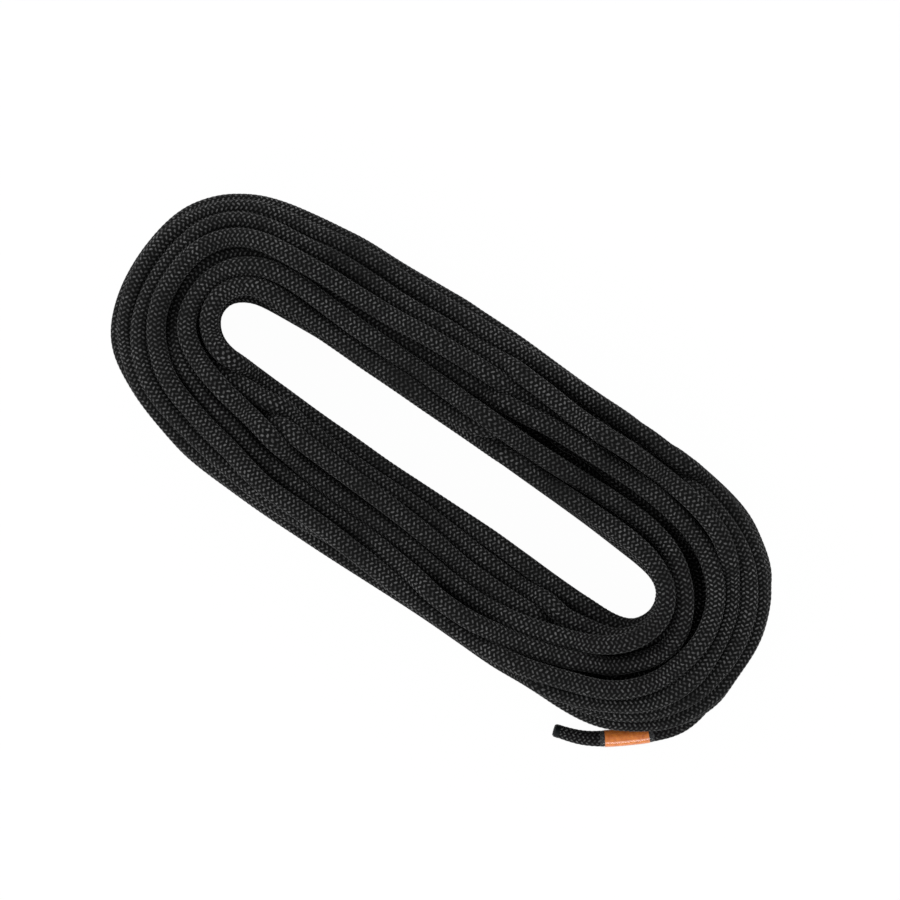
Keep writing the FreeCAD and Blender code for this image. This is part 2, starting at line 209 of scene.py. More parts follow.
# %% The band that the pile fills, clockwise from the lower right, in picture pixels
HOLE_EDGE = [
    (688, 482), (670, 488), (640, 489), (600, 489), (560, 488), (520, 488), (480, 489), (440, 490),
    (400, 491), (360, 490.5), (320, 490.5), (280, 489.5), (240, 488), (207, 487.5), (193, 484),
    (183, 476.5), (176.5, 464), (178.5, 452.5), (188, 443), (203, 437), (240, 433), (280, 430),
    (320, 430), (360, 429.5), (400, 429.5), (440, 429), (480, 429), (520, 429.5), (560, 430),
    (600, 431), (640, 433), (669, 435), (686, 439.5), (694, 446.5), (697.5, 457), (697.5, 466),
    (695, 472.5), (691, 478)]
OUTER_RIM = [
    (731, 585.5), (692, 595), (640, 597), (600, 600), (560, 600), (520, 600), (480, 601),
    (440, 602.5), (400, 604), (360, 605), (320, 606), (280, 605), (240, 604), (200, 596),
    (149, 580), (105, 554), (82.5, 513), (75.5, 460), (84, 405), (111, 365), (161, 337.5),
    (240, 323.5), (300, 320), (350, 316), (400, 312.5), (440, 312.5), (480, 313), (520, 314),
    (560, 314.5), (610, 314.5), (660, 316.5), (712, 325), (746, 340.5), (780, 369), (804, 420),
    (807.5, 472), (804.5, 515), (778, 553.5)]
BAND_HEIGHT = 24.0
ROPE = 9.5
PICTURE_SPOT = (442.0, 446.8)


def place(stations):
    """Picture stations, with their heights, as millimetres in the frame.

    The levelled picture shows the spot under the camera at PICTURE_SPOT.
    """
    s = np.asarray(stations, float)
    scale = FOCAL / (CAMERA_HEIGHT - s[:, 2])
    x = (s[:, 0] - PICTURE_SPOT[0]) / scale + CAMERA_OVER[0] + HANK_SHIFT[0]
    y = (PICTURE_SPOT[1] - s[:, 1]) / scale + CAMERA_OVER[1] + HANK_SHIFT[1]
    return np.column_stack([x, y, s[:, 2]])


def at_height(edge):
    """An edge of the band, placed at half the pile's height, where its sides are steepest."""
    return place([(x, y, BAND_HEIGHT) for x, y in edge])


hole = at_height(HOLE_EDGE)
band = at_height(OUTER_RIM) - hole
band_width = np.linalg.norm(band[:, :2], axis=1)
print("band %.1f to %.1f mm wide, %.1f ropes" % (
    band_width.min(), band_width.max(), band_width.mean() / ROPE))

# %% Hidden turns, as (ropes from the hole's edge, layer)
SEED = 5
LAYER_STEP = 8.3
LANES = 5.9
UNEVEN = 0.05
INNER_TURNS = [
    (0.5, 0), (1.5, 0), (2.5, 0), (3.5, 0), (4.5, 0), (4.0, 1), (3.0, 1), (3.5, 2), (4.5, 2),
    (4.0, 3), (3.0, 3), (2.5, 2), (2.0, 1), (1.0, 1), (1.5, 2), (0.5, 2)]
OUTER_TURNS = [(5.0, 1), (5.45, 0)]
STATIONS = len(HOLE_EDGE)
LANE_CHANGE = (19, 29)
RIM_CHANGE = (0, 8)
JOINT_STATION = 30
rng = np.random.default_rng(SEED)


def band_turn(lane, layer, next_lane, next_layer, change=LANE_CHANGE):
    """One turn round the band, which moves to the next lane and layer between two stations."""
    points = []
    for k in range(STATIONS):
        t = min(1.0, max(0.0, (k - change[0]) / (change[1] - change[0])))
        t = t * t * (3 - 2 * t)
        # where the band is narrower than all its lanes, they move closer together
        across = (lane + (next_lane - lane) * t) * min(1.0, band_width[k] / ROPE / LANES)
        spot = hole[k, :2] + band[k, :2] / band_width[k] * across * ROPE
        points.append((*spot, ROPE / 2 + LAYER_STEP * (layer + (next_layer - layer) * t)))
    return points


# wound one after the other, with the small unevenness of handwork
lanes = [(lane + rng.normal(0, UNEVEN), layer) for lane, layer in INNER_TURNS]
inner = []
for now, following in zip(lanes, lanes[1:] + [INNER_TURNS[-1]]):
    inner += band_turn(*now, *following)
outer = band_turn(*OUTER_TURNS[0], *OUTER_TURNS[0])
outer += band_turn(*OUTER_TURNS[0], *OUTER_TURNS[1], RIM_CHANGE)
print("hidden turns:", len(INNER_TURNS), "inside and", len(OUTER_TURNS), "at the rim")

# %% [markdown]
# The free end leaves the lowest outer turn on the upper side, comes round the right end and stops
# at the lower right. The other end is hidden: it starts at the bottom of the pile, beside the hole.

# %% The free end's route and the start of the line, in millimetres
FREE_ROUTE = [
    (96.8, 72.7), (126.8, 72.7), (158.6, 53.6), (174.0, 21.5), (174.9, -6.8),
    (174.3, -28.7), (165.9, -45.9), (140.2, -68.2), (120.4, -76.2)]
HIDDEN_START = (97.6, 22.72)

first_points = [(*HIDDEN_START, ROPE / 2)]
first_points += band_turn(*INNER_TURNS[0], *INNER_TURNS[0])[JOINT_STATION + 1:]
free_points = [(x, y, ROPE / 2) for x, y in FREE_ROUTE]
# the parts of the line in their order; a station's kind is the number of its part
parts = [first_points + inner] + [place(turn) for turn in TOP_TURNS]
parts += [outer[:JOINT_STATION - STATIONS], free_points]
kinds = np.concatenate([np.full(len(part), k) for k, part in enumerate(parts)])
FREE_KIND = len(parts) - 1
stations = np.vstack([np.asarray(part, float) for part in parts])
print("stations", len(stations), "in", len(parts), "parts")

# %% [markdown]
# ## Letting the rope settle
#
# The list of stations overlaps itself in places. Real rope can't, so the line settles: points of
# the line that come nearer than one thickness push each other apart, stiffness smooths the line,
# weight pulls it down, and the table holds it up. The turns on top are held to their place in the
# picture, and those below give way.

# %% Even points along the line
SPACING = 3.0
STEPS_BETWEEN = 16


def through(q, steps):
    """A smooth line through all of these points but the first and the last, which only steer it."""
    t = np.linspace(0, 1, steps, endpoint=False)[:, None]
    return np.vstack([0.5 * (2 * b + (c - a) * t + (2 * a - 5 * b + 4 * c - d) * t ** 2
                             + (3 * b - a - 3 * c + d) * t ** 3)
                      for a, b, c, d in zip(q, q[1:], q[2:], q[3:])])


def even_line(points, marks, spacing):
    """Points at one spacing on a smooth line through the stations, with each one's mark."""
    steered = np.vstack([2 * points[0] - points[1], points, 2 * points[-1] - points[-2]])
    line = through(steered, STEPS_BETWEEN)
    length = np.concatenate([[0], np.cumsum(np.linalg.norm(np.diff(line, axis=0), axis=1))])
    wanted = np.linspace(0, length[-1], int(length[-1] / spacing) + 1)
    even = np.column_stack([np.interp(wanted, length, line[:, k]) for k in range(3)])
    spots = np.searchsorted(length, wanted).clip(0, len(line) - 1)
    return even, np.repeat(marks[:-1], STEPS_BETWEEN)[spots]


line, kind = even_line(stations, kinds, SPACING)
print("points", len(line), "length %.2f m" % (len(line) * SPACING * MM))

# %% Which points are near each other
REACH = 1.2 * ROPE
SKIPPED = 6


def near_pairs(points, reach, apart):
    """Pairs of points within reach, more than so many points apart, found with a grid of cells."""
    cell = np.floor(points / reach).astype(np.int64)
    cell -= cell.min(0) - 1
    size = cell.max(0) + 3
    key = (cell[:, 0] * size[1] + cell[:, 1]) * size[2] + cell[:, 2]
    order = np.argsort(key, kind="stable")
    first, second = [], []
    for step in range(27):
        dx, dy, dz = step // 9 - 1, step // 3 % 3 - 1, step % 3 - 1
        wanted = key + (dx * size[1] + dy) * size[2] + dz
        low = np.searchsorted(key[order], wanted, "left")
        count = np.searchsorted(key[order], wanted, "right") - low
        i = np.repeat(np.arange(len(points)), count)
        skipped = np.repeat(low - np.cumsum(count) + count, count)
        j = order[skipped + np.arange(count.sum())]
        good = (j - i > apart) & (np.linalg.norm(points[i] - points[j], axis=1) < reach)
        first.append(i[good])
        second.append(j[good])
    return np.concatenate(first), np.concatenate(second)


print("pairs of points near each other:", len(near_pairs(line, REACH, SKIPPED)[0]))

# %% The walls of the band
WALL_STEPS = 8
WALL_GIVE = 0.4


def wall(edge, sign):
    """Points along a closed edge, with the direction in which the rope lies from it."""
    spots = through(np.vstack([edge[-1:], edge, edge[:2]]), WALL_STEPS)[:, :2]
    along = np.roll(spots, -1, axis=0) - np.roll(spots, 1, axis=0)
    ways = sign * np.column_stack([-along[:, 1], along[:, 0]])
    return spots, ways / np.linalg.norm(ways, axis=1)[:, None]


def seen(points):
    """Where the camera sees the points on the level at which the band's edges were placed."""
    under = np.array(CAMERA_OVER) + HANK_SHIFT
    nearer = (CAMERA_HEIGHT - BAND_HEIGHT) / (CAMERA_HEIGHT - points[:, 2])
    return under + (points[:, :2] - under) * nearer[:, None]


def nearest_spots(points, spots):
    """The number of each point's nearest spot, as the camera sees it."""
    return ((seen(points)[:, None] - spots[None]) ** 2).sum(2).argmin(1)


def keep_off(points, spots, ways):
    """Moves the points that look less than half a rope from their spot on a wall away from it."""
    clear = ((seen(points) - spots) * ways).sum(1)
    points[:, :2] += ways * np.clip(ROPE / 2 - WALL_GIVE - clear, 0, 1)[:, None]


walls = [wall(hole, 1), wall(hole + band, -1)]
print("spots along the walls:", [len(spots) for spots, ways in walls])

# %% Which points are held, and how much
HELD_UP = 34.0
FULLY_UP = 40.0
LEAVES_BAND = -12.0
END_POINTS = 30
START_POINTS = 4
LOW_START_POINTS = 8
# pulls towards the first place, as shares of the way back in one round
PULL_UNDER = 0.02
PULL_ON_TOP = 0.06
PULL_MORE_UP = 0.2
PULL_FREE_END = 0.1
PULL_ENDS = 0.3
PULL_HEIGHT = 0.02
PULL_START_HEIGHT = 0.5

on_top = (kind > 0) & (kind <= len(TOP_TURNS))
up = np.clip((line[:, 2] - HELD_UP) / (FULLY_UP - HELD_UP), 0, 1)
flat_hold = np.where(on_top, PULL_ON_TOP + PULL_MORE_UP * up, PULL_UNDER)
flat_hold[kind == FREE_KIND] = PULL_FREE_END
flat_hold[-END_POINTS:] = PULL_ENDS
flat_hold[:START_POINTS] = PULL_ENDS
height_hold = np.where(on_top, PULL_HEIGHT, 0.0)
height_hold[:LOW_START_POINTS] = PULL_START_HEIGHT
leaves = np.flatnonzero((kind == FREE_KIND) & (line[:, 1] < LEAVES_BAND))[0]
print("points on top", on_top.sum(), "held firmly", (up == 1).sum(), "in the band", leaves)

# %% The settling, whose last rounds are quiet: nothing sinks in them any more
ROUNDS = 320
QUIET_ROUNDS = 80
SEARCH_EVERY = 8
WEIGHT = 0.06
BENDING = 0.06
STRETCHING = 0.25
PUSH = 0.45
TOUCH = 9.3


def settle(line, flat_hold, height_hold, in_band):
    """The line after it has settled; the holds are each point's pull to its first place."""
    points = line.copy()
    n = len(points)
    for step in range(ROUNDS):
        if step % SEARCH_EVERY == 0:
            i, j = near_pairs(points, REACH, SKIPPED)
            beside = [(spots[k], ways[k]) for spots, ways in walls
                      for k in [nearest_spots(points[in_band], spots)]]
        # turns that touch push each other apart
        apart = points[j] - points[i]
        distance = np.linalg.norm(apart, axis=1)
        near = distance < TOUCH
        a, b = i[near], j[near]
        push = apart[near] * ((TOUCH / distance[near] - 1) / 2)[:, None]
        count = np.bincount(a, minlength=n) + np.bincount(b, minlength=n)
        share = 1 / np.maximum(1.0, PUSH * count)
        for k in range(3):
            points[:, k] += (np.bincount(b, push[:, k], n) - np.bincount(a, push[:, k], n)) * share
        # the rope bends stiffly and keeps its length
        points[2:-2] -= BENDING * (points[:-4] - 4 * points[1:-3] + 6 * points[2:-2]
                                   - 4 * points[3:-1] + points[4:])
        step_on = np.diff(points, axis=0)
        length = np.linalg.norm(step_on, axis=1)
        slack = step_on * (STRETCHING - STRETCHING * SPACING / length)[:, None]
        points[:-1] += slack
        points[1:] -= slack
        # it is held to its place, sinks, and stays off the walls and on the table
        points[:, :2] += (line - points)[:, :2] * flat_hold[:, None]
        if step < ROUNDS - QUIET_ROUNDS:
            points[:, 2] -= WEIGHT + (points[:, 2] - line[:, 2]) * height_hold
        for spots, ways in beside:
            keep_off(points[in_band], spots, ways)
        points[:, 2] = np.maximum(points[:, 2], ROPE / 2)
    return points


settled = settle(line, flat_hold, height_hold, slice(0, leaves))
i, j = near_pairs(settled, REACH, SKIPPED)
apart = np.linalg.norm(settled[i] - settled[j], axis=1)
moved = np.linalg.norm(settled[on_top, :2] - line[on_top, :2], axis=1)
print("least distance %.2f mm, under 9 mm: %d pairs" % (apart.min(), (apart < 9).sum()))
print("turns on top moved across %.2f mm, at most %.2f; highest %.1f mm" % (
    moved.mean(), moved.max(), settled[:, 2].max()))

# %% [markdown]
# The settled points become the control points of one NURBS spline, which is smooth by nature.
# Everything that follows the rope, its sheath, core and label, reads its points from that spline.

# %% The rope's centre line as one NURBS spline
CONTROL_STEP = 2
READ_STEPS = 7


def nurbs_line(name, points, steps):
    """Points read from an open NURBS spline with these control points, in metres."""
    curve = bpy.data.curves.new(name, "CURVE")
    curve.dimensions = "3D"
    spline = curve.splines.new("NURBS")
    spline.points.add(len(points) - 1)
    for point, where in zip(spline.points, points):
        point.co = (*where, 1.0)
    spline.order_u = 3
    spline.use_endpoint_u = True
    spline.resolution_u = steps
    holder = bpy.data.objects.new(name, curve)
    bpy.context.collection.objects.link(holder)
    mesh = bpy.data.meshes.new_from_object(holder)
    read = np.array([v.co for v in mesh.vertices])
    bpy.data.meshes.remove(mesh)
    bpy.data.objects.remove(holder)
    return read


controls = np.vstack([settled[:-1:CONTROL_STEP], settled[-1:]]) * MM
centre = nurbs_line("centre_line", [tuple(p) for p in controls], READ_STEPS)
travelled = np.concatenate([[0], np.cumsum(np.linalg.norm(np.diff(centre, axis=0), axis=1))])
whole = travelled[-1]
print("control points", len(controls), "points read", len(centre), "rope length %.2f m" % whole)

# %% [markdown]
# ## Nodes written as sums
#
# Geometry and shader trees are written in Python here. One small class wraps a socket: an
# expression such as `1 - mask` adds its Math nodes by itself, and one method adds any other node.

# %% A socket that takes part in expressions


class Field:
    """An output socket of a node tree, or the tree alone."""

    def __init__(self, tree, socket=None):
        self.tree = tree
        self.socket = socket

    def node(self, kind, settings=None, values=None, output=0):
        """Adds a node: its settings first, then the values or links of its sockets."""
        made = self.tree.nodes.new(kind)
        for key, value in (settings or {}).items():
            if key == "items":
                for item_kind, item_name in value:
                    made.capture_items.new(item_kind, item_name)
            else:
                setattr(made, key, value)
        for key, value in (values or {}).items():
            if isinstance(value, Field):
                self.tree.links.new(value.socket, made.inputs[key])
            else:
                made.inputs[key].default_value = value
        return Field(self.tree, made.outputs[output])

    def other(self, name):
        """Another output of the same node."""
        return Field(self.tree, self.socket.node.outputs[name])

    def math(self, operation, *others):
        values = dict(enumerate((self, *others)))
        return self.node("ShaderNodeMath", {"operation": operation}, values)

    def __add__(self, other):
        return self.math("ADD", other)

    def __radd__(self, other):
        return self.math("ADD", other)

    def __sub__(self, other):
        return self.math("SUBTRACT", other)

    def __rsub__(self, other):
        return self.node("ShaderNodeMath", {"operation": "SUBTRACT"}, {0: other, 1: self})

    def __mul__(self, other):
        return self.math("MULTIPLY", other)

    def __rmul__(self, other):
        return self.math("MULTIPLY", other)

    def __truediv__(self, other):
        return self.math("DIVIDE", other)

    def __pow__(self, other):
        return self.math("POWER", other)

    def __mod__(self, other):
        return self.math("FLOORED_MODULO", other)


print("methods of a Field:", [name for name in vars(Field) if not name.startswith("__")])

# %% [markdown]
# ## The braided sheath
#
# The sheath is a tube of yarns that cross in a steep zigzag. Every yarn that comes to the surface
# makes a small crown, and the crowns stand in rows along the rope. A Geometry Nodes tree makes
# the tube: a circle follows the centre line, and each point moves outwards by the height of the
# crown at that place. It also writes down where on the sheath each point is, for the materials.

# %% The tree that wraps a tube round a line
CROWN_ROWS = 14
CROWN_PITCH = 2.45 * MM
CROWN_HEIGHT = 0.3 * MM
# odd rows are shifted by so many pitches, and a crown leans by so many across its row
STAGGER = 0.4
LEAN = 0.35
# turns of the rows round the rope per metre, and how high the rows stand between two crowns
TWIST = 0.25
SADDLE = 0.3
SIDES = 48


def new_tree(name, inputs):
    """A geometry tree with these named inputs, and the Field of each."""
    tree = bpy.data.node_groups.new(name, "GeometryNodeTree")
    tree.interface.new_socket("Geometry", in_out="INPUT", socket_type="NodeSocketGeometry")
    for label, kind in inputs:
        tree.interface.new_socket(label, in_out="INPUT", socket_type="NodeSocket" + kind)
    tree.interface.new_socket("Geometry", in_out="OUTPUT", socket_type="NodeSocketGeometry")
    entry = tree.nodes.new("NodeGroupInput")
    return tree, {socket.name: Field(tree, socket) for socket in entry.outputs if socket.name}


def close_tree(geometry, material):
    """The last nodes of the tree: real geometry, smooth, with its material."""
    real = geometry.node("GeometryNodeRealizeInstances", values={"Geometry": geometry})
    smooth = real.node("GeometryNodeSetShadeSmooth", values={"Geometry": real})
    dressed = real.node("GeometryNodeSetMaterial",
                        values={"Geometry": smooth, "Material": material})
    exit_node = geometry.tree.nodes.new("NodeGroupOutput")
    geometry.tree.links.new(dressed.socket, exit_node.inputs[0])


def crown_travel(row, travel):
    """Pitches along the sheath; the crowns of even and of odd rows lean to opposite sides."""
    side = row.math("FLOOR") % 2.0
    return travel + side * STAGGER + (row.math("FRACT") - 0.5) * (side * 2.0 - 1.0) * LEAN


def sheath_tree():
    """The tree of the tube with crowns; every size of it is an input."""
    tree, given = new_tree("braided_tube", [
        ("Sides", "Int"), ("Rings", "Int"), ("Radius", "Float"), ("Rows", "Float"),
        ("Pitch", "Float"), ("Relief", "Float"), ("Twist", "Float"), ("Start", "Float"),
        ("Material", "Material")])
    add = Field(tree).node
    # rings at even distances along the line, each with its travel and its middle written down
    path = add("GeometryNodeMeshToCurve", values={"Mesh": given["Geometry"]})
    path = add("GeometryNodeResampleCurve", {"mode": "COUNT"},
               {"Curve": path, "Count": given["Rings"]})
    path = add("GeometryNodeSetCurveNormal", {"mode": "Z_UP"}, {"Curve": path})
    travel = add("GeometryNodeSplineParameter").other("Length") + given["Start"]
    position = add("GeometryNodeInputPosition")
    path = add("GeometryNodeCaptureAttribute",
               {"items": [("FLOAT", "Travel"), ("VECTOR", "Middle")]},
               {"Geometry": path, "Travel": travel, "Middle": position})
    travel, middle = path.other("Travel"), path.other("Middle")
    ring = add("GeometryNodeCurvePrimitiveCircle",
               values={"Resolution": given["Sides"], "Radius": given["Radius"]})
    turn = add("GeometryNodeInputIndex") / given["Sides"]
    ring = add("GeometryNodeCaptureAttribute", {"items": [("FLOAT", "Turn")]},
               {"Geometry": ring, "Turn": turn})
    turn = ring.other("Turn")
    thick = add("GeometryNodeInputNamedAttribute", {"data_type": "FLOAT"}, {"Name": "thick"})
    tube = add("GeometryNodeCurveToMesh", values={
        "Curve": path, "Profile Curve": ring, "Scale": thick, "Fill Caps": True})
    # the crowns stand in rows round the rope, a new one every pitch along it
    turn = turn + travel * given["Twist"]
    row = turn * given["Rows"]
    across = (row.math("FRACT") * math.pi).math("SINE")
    along = (crown_travel(row, travel / given["Pitch"]) * math.pi).math("SINE").math("ABSOLUTE")
    height = across * (along * (1.0 - SADDLE) + SADDLE) * given["Relief"] / given["Radius"] + 1.0
    out = add("ShaderNodeVectorMath", {"operation": "SUBTRACT"}, {0: position, 1: middle})
    out = add("ShaderNodeVectorMath", {"operation": "SCALE"}, {0: out, "Scale": height})
    out = add("ShaderNodeVectorMath", {"operation": "ADD"}, {0: out, 1: middle})
    tube = add("GeometryNodeSetPosition", values={"Geometry": tube, "Position": out})
    # the place on the sheath, with the angle as cosine and sine so that it has no seam
    angle = turn * (2 * math.pi)
    lay = add("ShaderNodeCombineXYZ",
              values={"X": angle.math("COSINE"), "Y": angle.math("SINE"), "Z": travel})
    tube = add("GeometryNodeStoreNamedAttribute",
               {"data_type": "FLOAT_VECTOR", "domain": "POINT"},
               {"Geometry": tube, "Name": "lay", "Value": lay})
    close_tree(tube, given["Material"])
    return tree


braided_tube = sheath_tree()
print("nodes in the tree", len(braided_tube.nodes))

# %% Make a tube on part of the rope


def as_line(points, thick, lines=1):
    """A mesh of edges along the points, or along several lines of equally many points."""
    mesh = bpy.data.meshes.new("line")
    each = len(points) // lines
    edges = [(n * each + k, n * each + k + 1) for n in range(lines) for k in range(each - 1)]
    mesh.from_pydata([tuple(p) for p in points], edges, [])
    values = mesh.attributes.new("thick", "FLOAT", "POINT").data
    values.foreach_set("value", np.asarray(thick, np.float32))
    return mesh


def plain_piece(name, holder):
    """The holder's finished geometry as a plain mesh on a new object."""
    bpy.context.view_layer.update()
    depsgraph = bpy.context.evaluated_depsgraph_get()
    mesh = bpy.data.meshes.new_from_object(holder.evaluated_get(depsgraph), depsgraph=depsgraph)
    bpy.data.objects.remove(holder)
    mesh.name = name
    # the tube is turned right side out where the tree left it inside out
    corners = np.empty(len(mesh.vertices) * 3, np.float32)
    mesh.vertices.foreach_get("co", corners)
    corners = corners.reshape(-1, 3).astype(float)
    mesh.calc_loop_triangles()
    triangles = np.empty(len(mesh.loop_triangles) * 3, np.int32)
    mesh.loop_triangles.foreach_get("vertices", triangles)
    a, b, c = (corners[triangles[k::3]] for k in range(3))
    volume = (np.cross(a, b) * c).sum() / 6
    if volume < 0:
        mesh.flip_normals()
    piece = bpy.data.objects.new(name, mesh)
    bpy.context.collection.objects.link(piece)
    print(name, "triangles", len(triangles) // 3, "volume %.2f cm3" % abs(volume * 1e6))
    return piece


def wrap(name, points, thick, material, lines=1, **sizes):
    """A tube round the points, made by the tree with these sizes."""
    holder = bpy.data.objects.new(name + "_line", as_line(points, thick, lines))
    bpy.context.collection.objects.link(holder)
    modifier = holder.modifiers.new("tube", "NODES")
    modifier.node_group = braided_tube
    sizes = {"Sides": SIDES, "Radius": ROPE / 2 * MM, "Rows": float(CROWN_ROWS),
             "Pitch": CROWN_PITCH, "Relief": 0.0, "Twist": TWIST, "Start": 0.0, **sizes,
             "Material": material}
    for item in braided_tube.interface.items_tree:
        if item.name in sizes:
            modifier[item.identifier] = sizes[item.name]
    return plain_piece(name, holder)


tube_inputs = [item.name for item in braided_tube.interface.items_tree if item.in_out == "INPUT"]
print("inputs:", tube_inputs)

# %% [markdown]
# ## The finishes
#
# The sheath is nearly black polyamide. Light catches the crown of each yarn and the valleys stay
# dark, so the same crown pattern as in the mesh steers its colour, roughness and bump. In the
# colour this is painted light: painted highlights on the crowns and painted shade in the valleys
# between them. The pattern is worked out from where the point is on the sheath, so it follows
# every bend.
#
# The other finishes are plainer: a colour that wanders a little between two, over a fine bump.
# The label is a film under clear plastic, so a coat lies over its orange. The sleeve itself is
# nearly invisible but for its coat, which is what catches the light.

# %% The sheath's material


def new_material(name):
    """A material with nodes, its Principled shader and a Field to build on."""
    material = bpy.data.materials.new(name)
    material.use_nodes = True
    shader = material.node_tree.nodes["Principled BSDF"]
    return material, shader, Field(material.node_tree)


def feed(field, shader, name):
    """Links a field to an input of the shader."""
    field.tree.links.new(field.socket, shader.inputs[name])


def set_inputs(shader, **values):
    """Gives inputs of the shader plain values; an underscore stands for a space in a name."""
    for key, value in values.items():
        shader.inputs[key.replace("_", " ")].default_value = value


def sheath_place(start):
    """Where a point is on the sheath: rows round it, and metres along it."""
    lay = start.node("ShaderNodeAttribute", {"attribute_name": "lay"}).other("Vector")
    parts = start.node("ShaderNodeSeparateXYZ", values={0: lay})
    x, y, travel = parts, parts.other("Y"), parts.other("Z")
    turn = y.math("ARCTAN2", x) / (2 * math.pi) + 1.0
    return turn * float(CROWN_ROWS), travel


def mix_colours(factor, low, high):
    """The colour between two, by a factor from 0 to 1."""
    values = {0: factor, 6: low, 7: high}
    return factor.node("ShaderNodeMix", {"data_type": "RGBA"}, values, output=2)


def noise(where, scale, detail):
    """Smooth noise from 0 to 1 at a place."""
    values = {"Vector": where, "Scale": scale, "Detail": detail}
    return where.node("ShaderNodeTexNoise", values=values)


def bump_of(height, strength, distance):
    """Normals that make a height from 0 to 1 look so many metres deep."""
    values = {"Strength": strength, "Distance": distance, "Height": height}
    return height.node("ShaderNodeBump", values=values)


def grey(value):
    """A colour without a hue."""
    return (value, value, value, 1)


def braided_material(name, dark, light):
    """The sheath's finish, from its dark ground with painted shade in the valleys to its brightest
    painted highlight on the crowns.
    """
    material, shader, start = new_material(name)
    row, travel = sheath_place(start)

    def at(x, y, z=0.0):
        return start.node("ShaderNodeCombineXYZ", values={"X": x, "Y": y, "Z": z})

    # the crowns of the mesh, with a small drift so that no two are spaced alike
    drift = noise(at(row * 0.7, travel * 350.0), 1.0, 1.0)
    along = crown_travel(row, travel / CROWN_PITCH) + (drift - 0.5) * 0.45
    bead = (along * math.pi).math("SINE").math("ABSOLUTE")
    across = (row.math("FRACT") * math.pi).math("SINE")
    crown = (bead ** 2.0) * (across ** 0.35)
    # the painted highlights on the crowns vary over the hank, with fine wear and broader patches,
    # and each crown's highlight has a strength of its own
    grain = start.node("ShaderNodeTexCoord").other("Object")
    wear = noise(grain, 90.0, 3.0)
    patch = noise(grain, 22.0, 2.0)
    cell = at(row.math("FLOOR"), along.math("FLOOR"))
    each = start.node("ShaderNodeTexWhiteNoise", values={"Vector": cell})
    # two yarns lie side by side on a crown, each a bundle of fibres
    fibres = noise(at(row * 2.0, along * 8.0, row.math("FLOOR")), 1.0, 2.0)
    yarns = 1.0 - ((along * (4.0 * math.pi)).math("COSINE") * 0.5 + 0.5) * 0.3
    # painted highlights on the crowns over a dark grey ground, which is darker still in the valleys
    # between the crowns: painted shade there
    painted_highlight = (crown - 0.58) * 2.6 + (fibres - 0.5) * 1.6
    painted_highlight = painted_highlight.math("MAXIMUM", 0.0).math("MINIMUM", 1.0)
    bright = (each * 0.9 + 0.15 + wear * 0.4) * (patch * 2.0)
    painted_highlight = painted_highlight * yarns * bright + bead * 0.05 + 0.035
    # so the base colour holds painted light: highlights on the crowns and shade between them
    feed(mix_colours(painted_highlight, dark, light), shader, "Base Color")
    feed(0.8 - painted_highlight * 0.25, shader, "Roughness")
    feed(bump_of(crown * yarns + fibres * 0.3, 0.8, CROWN_HEIGHT), shader, "Normal")
    set_inputs(shader, Specular_IOR_Level=0.02, Sheen_Weight=0.09, Sheen_Roughness=0.3)
    return material


# the dark grey is the rope's own black; the light grey is the painted highlight on its crowns
sheath_finish = braided_material("black braided sheath", grey(0.0005), grey(0.09))
print(sheath_finish.name, "nodes:", len(sheath_finish.node_tree.nodes))

# %% The other finishes


def speckled(name, low, high, roughness, scale, bump=0.0, **more):
    """A finish whose colour wanders a little between two, over a fine bump."""
    material, shader, start = new_material(name)
    wander = noise(start.node("ShaderNodeTexCoord").other("Object"), scale, 4.0)
    feed(mix_colours(wander, low, high), shader, "Base Color")
    feed(wander * 0.2 + (roughness - 0.1), shader, "Roughness")
    if bump:
        feed(bump_of(wander, bump, 0.2 * MM), shader, "Normal")
    set_inputs(shader, **more)
    return material


core_finish = speckled("white twisted core", (0.7, 0.7, 0.66, 1), (0.88, 0.88, 0.85, 1),
                       0.6, 900.0, bump=0.3)
tape_finish = speckled("marker tape", (0.5, 0.6, 0.7, 1), (0.7, 0.76, 0.82, 1), 0.4, 700.0)
label_finish = speckled("orange label", (0.36, 0.045, 0.002, 1), (0.95, 0.30, 0.025, 1),
                        0.4, 500.0, Specular_IOR_Level=0.1, Coat_Weight=1.0, Coat_Roughness=0.1)
melted_finish = speckled("melted end", (0.001, 0.0015, 0.002, 1), (0.006, 0.008, 0.009, 1),
                         0.5, 500.0, bump=0.8, Specular_IOR_Level=0.1)
sleeve_finish = speckled("clear shrink sleeve", (0.2, 0.21, 0.22, 1), grey(0.3),
                         0.1, 200.0, Alpha=0.1, Coat_Weight=1.0, Coat_Roughness=0.05)
print("materials", len(bpy.data.materials))

# %% [markdown]
# ## The rope in lengths
#
# One mesh for twenty metres of braid would be far too heavy, so the sheath is made in lengths
# that join end to end: fine ones for the turns that show, and a plainer one for those under them.
# A length begins where one turn of the list above gives way to the next. Every length is the same
# tube tree on another part of the line, so the braid runs on across the joints.

# %% Where each length begins
TURN_NAMES = [
    "turn_at_hole_left", "turn_diving_left", "turn_at_hole_right",
    "turn_second_left", "turn_second_right", "turn_wide_top",
    "turn_slope_upper", "turn_slope_lower", "turn_rim"]
MARK_SEARCH = 0.01


def travel_near(spot, low, high=math.inf):
    """How far along the rope, between low and high, its line comes nearest to a spot."""
    away = np.linalg.norm(centre - np.asarray(spot) * MM, axis=1)
    away[(travelled <= low) | (travelled >= high)] = math.inf
    return travelled[away.argmin()]


# the first settled point of every part is looked for near its share of the whole length
marks = [travelled[0]]
for part in range(1, FREE_KIND):
    first = np.flatnonzero(kind == part)[0]
    share = first / (len(line) - 1)
    marks.append(travel_near(
        settled[first], whole * (share - MARK_SEARCH), whole * (share + MARK_SEARCH)))
print("marks", [round(m, 2) for m in marks])

# %% [markdown]
# ## The finished end
#
# The free end is melted shut, and an orange film goes round it under a clear sleeve that is
# shrunk on, which squeezes the rope thinner. Under the sheath run the core's twisted strands and
# a marker tape. These could be straight tubes that are bent afterwards, but here each one is made
# along its own part of the rope's line, as the sheath is, and so they all fit one another.

